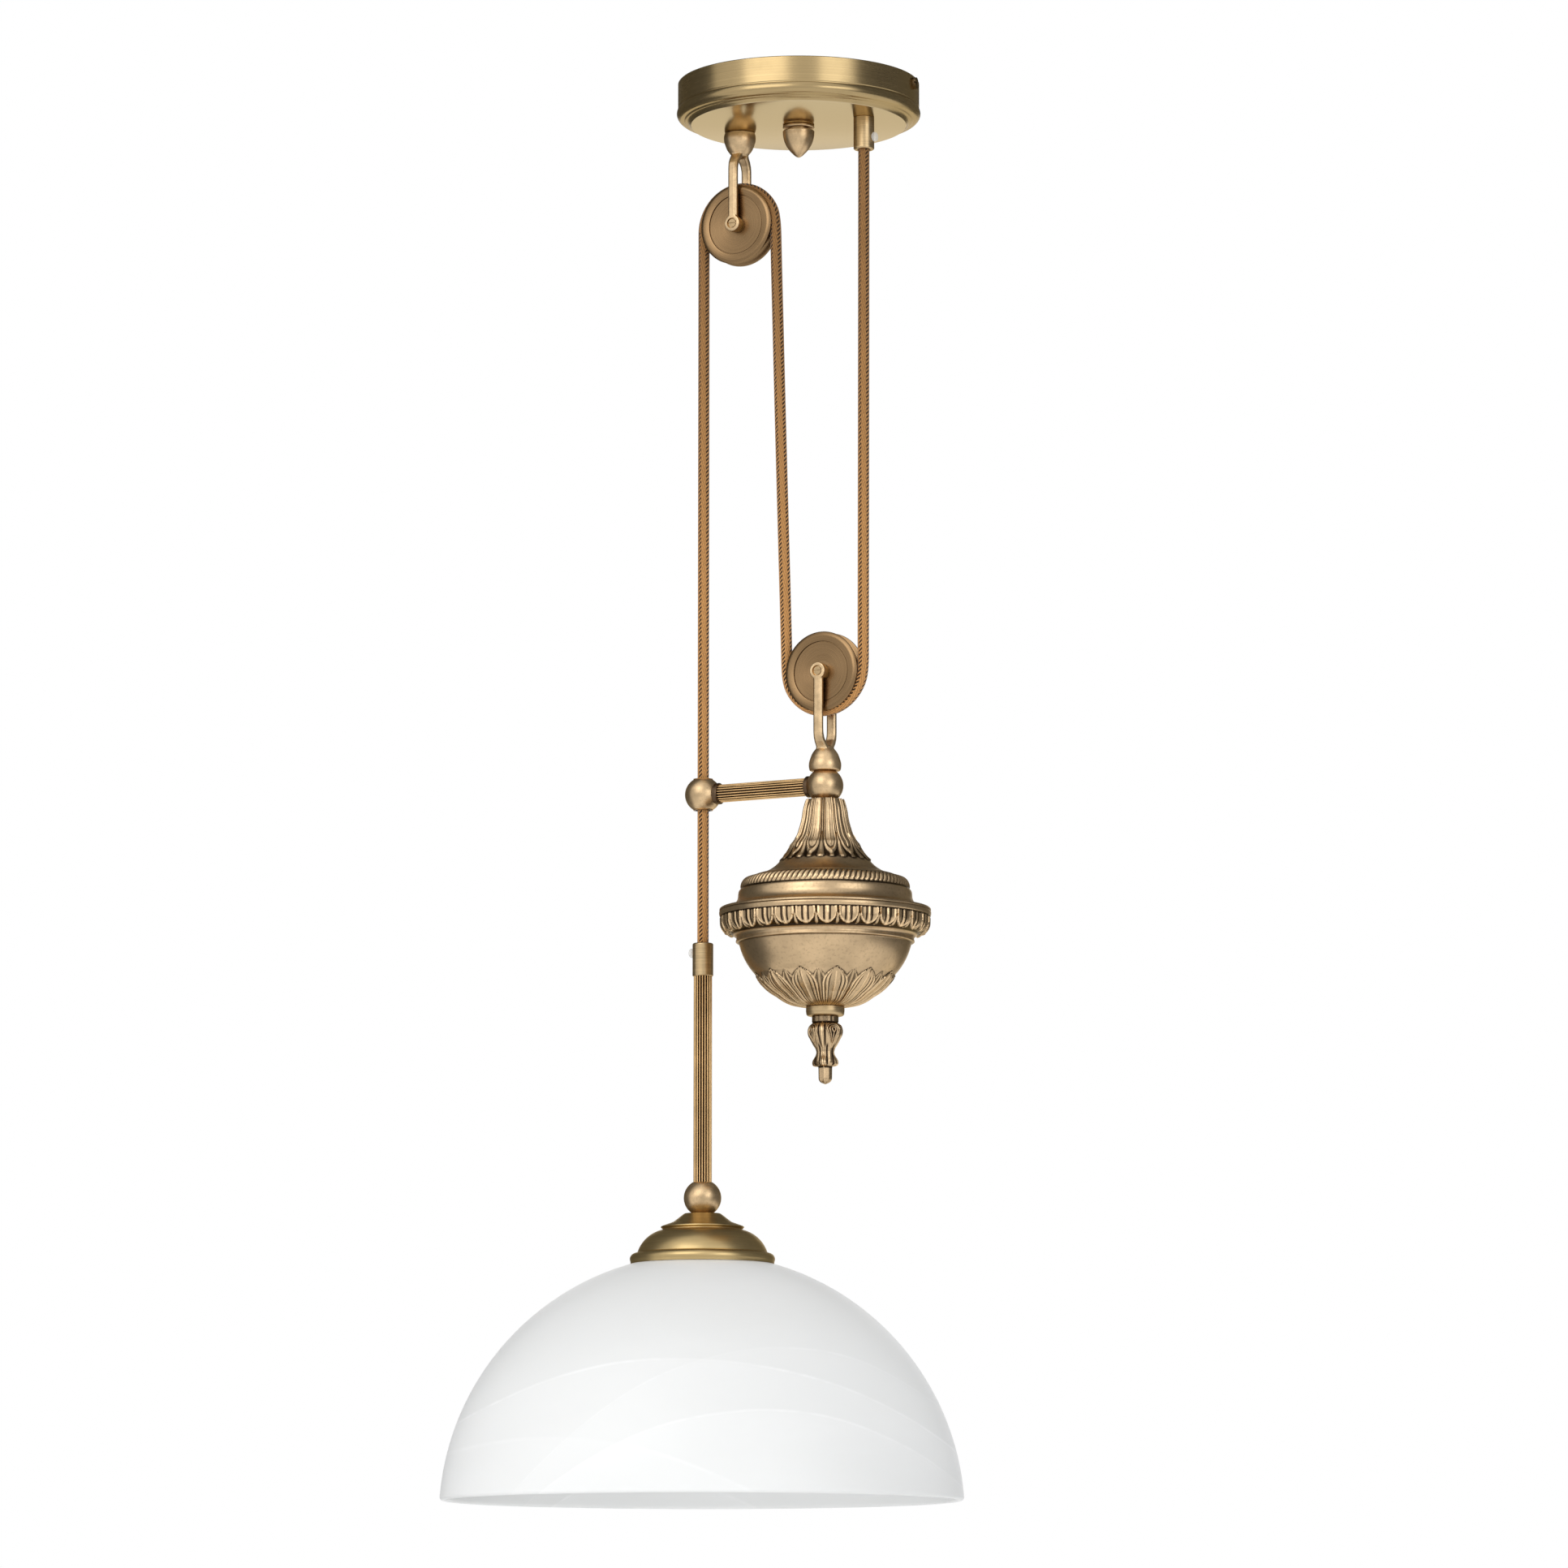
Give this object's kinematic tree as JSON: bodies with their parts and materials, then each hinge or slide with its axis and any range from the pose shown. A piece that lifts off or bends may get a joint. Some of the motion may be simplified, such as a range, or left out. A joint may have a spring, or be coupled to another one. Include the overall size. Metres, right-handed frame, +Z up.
{
  "type": "rise and fall pendant",
  "caption": "Rise and fall pendant: ceiling canopy, two pulleys on yokes, one textile cord, an urn counterweight with a guide arm, and a clouded glass dome shade.",
  "frame": {"origin": "centre of the canopy rim, in the plane of the ceiling", "axes": "+Z up, towards the ceiling; +X from the shade's cord towards the cord grip on the canopy; the pulley axles are parallel to Y"},
  "size_m": [0.2996, 0.2996, 0.8213],
  "materials": {
    "canopy_brass": "satin, brushed, lightly aged",
    "brushed_brass": "brushed, antique",
    "cast_brass": "antique, dark in the recesses",
    "dark_brass": "dark bronze",
    "bush_brass": "turned",
    "textile_cord": "braided",
    "clear_plastic": "clear",
    "core_insulation": "matt",
    "terminal_plastic": "matt",
    "holder_plastic": "glazed",
    "alabaster_glass": "opal, clouded",
    "cast_iron": "as cast",
    "zinc_steel": "zinc plated"
  },
  "bodies": {
    "canopy": {"canopy_shell": "canopy_brass", "ceiling_strap": "zinc_steel", "side_screws": "zinc_steel", "central_rod": "zinc_steel", "central_rod_nut": "zinc_steel", "acorn_washer": "canopy_brass", "acorn_finial": "canopy_brass", "terminal_block": "terminal_plastic", "canopy_cores": "core_insulation", "canopy_cord_grip": "canopy_brass", "canopy_grip_screw": "clear_plastic", "canopy_grip_nipple": "zinc_steel", "canopy_grip_nut": "zinc_steel", "upper_yoke": "brushed_brass", "upper_axle_screw": "zinc_steel", "upper_axle_nut": "zinc_steel", "upper_spacers": "brushed_brass", "upper_yoke_stud": "zinc_steel", "upper_yoke_nut": "zinc_steel", "cord_canopy_fall": "textile_cord", "cord_middle_fall": "textile_cord", "cord_upper_loop": "textile_cord", "cord_lamp_fall": "textile_cord"},
    "upper_pulley": {"upper_pulley": "brushed_brass", "upper_pulley_bush": "bush_brass"},
    "counterweight": {"lower_yoke": "brushed_brass", "lower_axle_screw": "zinc_steel", "lower_axle_nut": "zinc_steel", "lower_spacers": "brushed_brass", "top_ball": "brushed_brass", "arm_sockets": "dark_brass", "guide_arm": "brushed_brass", "guide_ball": "brushed_brass", "guide_bush": "dark_brass", "arm_rod": "zinc_steel", "tie_rod": "zinc_steel", "top_cover": "cast_brass", "lower_bowl": "cast_brass", "ballast": "cast_iron", "ballast_nut": "zinc_steel", "urn_collar": "brushed_brass", "urn_finial": "cast_brass", "cord_lower_loop": "textile_cord"},
    "lower_pulley": {"lower_pulley": "brushed_brass", "lower_pulley_bush": "bush_brass"},
    "lamp": {"lamp_cord_grip": "brushed_brass", "lamp_grip_screw": "clear_plastic", "reeded_stem": "brushed_brass", "lamp_pipe": "zinc_steel", "lamp_cores": "core_insulation", "lamp_ball": "brushed_brass", "gallery": "brushed_brass", "gallery_nut": "zinc_steel", "clamp_plate": "zinc_steel", "glass_shade": "alabaster_glass", "holder_cap": "holder_plastic", "holder_body": "holder_plastic", "thread_sleeve": "bush_brass", "centre_contact": "bush_brass"}
  },
  "joints": [
    {"name": "lamp_drop", "type": "slide", "parent": "canopy", "child": "lamp", "axis": [0, 0, -1], "range_m": [-0.045, 0.45], "deforming": ["cord_lamp_fall"]},
    {"name": "counterweight_rise", "type": "slide", "parent": "canopy", "child": "counterweight", "axis": [0, 0, 1], "range_m": [-0.023, 0.2255], "deforming": ["cord_canopy_fall", "cord_middle_fall"]},
    {"name": "upper_pulley_spin", "type": "hinge", "parent": "canopy", "child": "upper_pulley", "pos_m": [-0.0393, 0, -0.08], "axis": [0, 1, 0], "range_deg": [-1175, 120]},
    {"name": "lower_pulley_spin", "type": "hinge", "parent": "counterweight", "child": "lower_pulley", "pos_m": [0.0172, 0, -0.3484], "axis": [0, 1, 0], "range_deg": [-60, 590]}
  ],
  "couplings": [
    {"joint": "counterweight_rise", "follows": "lamp_drop", "ratio": 0.5},
    {"joint": "upper_pulley_spin", "follows": "lamp_drop", "rad_per_m": -45.455},
    {"joint": "lower_pulley_spin", "follows": "lamp_drop", "rad_per_m": 22.727}
  ]
}
